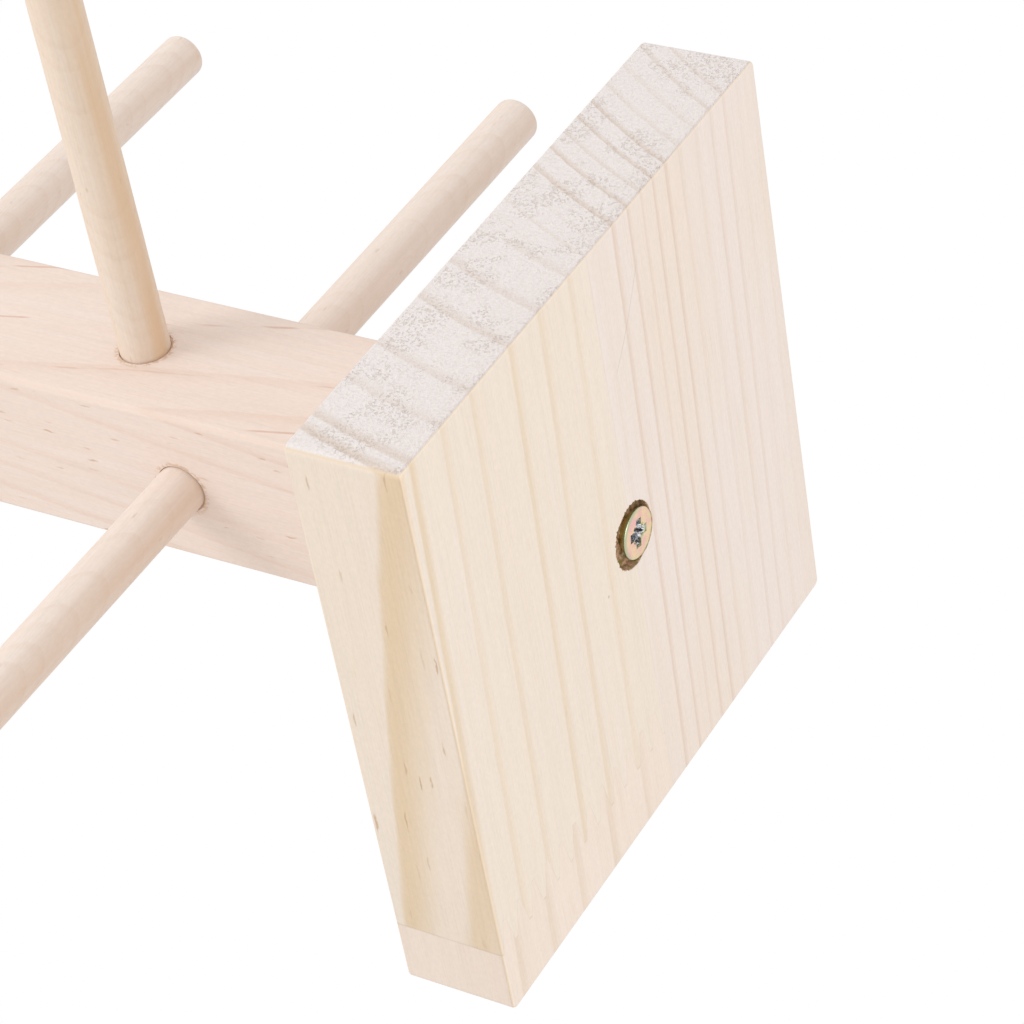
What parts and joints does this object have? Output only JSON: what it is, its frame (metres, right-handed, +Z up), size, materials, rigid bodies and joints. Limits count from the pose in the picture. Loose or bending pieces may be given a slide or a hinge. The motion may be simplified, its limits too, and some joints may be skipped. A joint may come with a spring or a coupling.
{
  "type": "spool holder stand",
  "caption": "Wooden spool stand: a square base board, an upright square post on one screw, and round pegs to the left, right and front.",
  "frame": {"origin": "middle of the base board's underside", "axes": "+Z up the post; +X to the right along the cross pegs; the front pegs point to -Y"},
  "size_m": [0.18, 0.14, 0.318],
  "materials": {
    "base_pine": "planed unfinished pine",
    "post_pine": "planed unfinished pine",
    "peg_wood": "sanded unfinished dowel",
    "screw_zinc": "yellow zinc plate"
  },
  "bodies": {
    "stand": {"base_stave_left": "base_pine", "base_stave_right": "base_pine", "base_end_block": "base_pine", "post": "post_pine", "base_screw": "screw_zinc"},
    "cross_peg_1": {"cross_peg_1": "peg_wood"},
    "cross_peg_2": {"cross_peg_2": "peg_wood"},
    "cross_peg_3": {"cross_peg_3": "peg_wood"},
    "cross_peg_4": {"cross_peg_4": "peg_wood"},
    "front_peg_1": {"front_peg_1": "peg_wood"},
    "front_peg_2": {"front_peg_2": "peg_wood"},
    "front_peg_3": {"front_peg_3": "peg_wood"},
    "front_peg_4": {"front_peg_4": "peg_wood"}
  },
  "joints": [
    {"name": "cross_peg_1_draw", "type": "slide", "parent": "stand", "child": "cross_peg_1", "axis": [1, 0, 0], "range_m": [-0.105, 0.105]},
    {"name": "cross_peg_2_draw", "type": "slide", "parent": "stand", "child": "cross_peg_2", "axis": [1, 0, 0], "range_m": [-0.105, 0.105]},
    {"name": "cross_peg_3_draw", "type": "slide", "parent": "stand", "child": "cross_peg_3", "axis": [1, 0, 0], "range_m": [-0.105, 0.105]},
    {"name": "cross_peg_4_draw", "type": "slide", "parent": "stand", "child": "cross_peg_4", "axis": [1, 0, 0], "range_m": [-0.105, 0.105]},
    {"name": "front_peg_1_draw", "type": "slide", "parent": "stand", "child": "front_peg_1", "axis": [0, -1, 0], "range_m": [0, 0.03]},
    {"name": "front_peg_2_draw", "type": "slide", "parent": "stand", "child": "front_peg_2", "axis": [0, -1, 0], "range_m": [0, 0.03]},
    {"name": "front_peg_3_draw", "type": "slide", "parent": "stand", "child": "front_peg_3", "axis": [0, -1, 0], "range_m": [0, 0.03]},
    {"name": "front_peg_4_draw", "type": "slide", "parent": "stand", "child": "front_peg_4", "axis": [0, -1, 0], "range_m": [0, 0.03]}
  ]
}
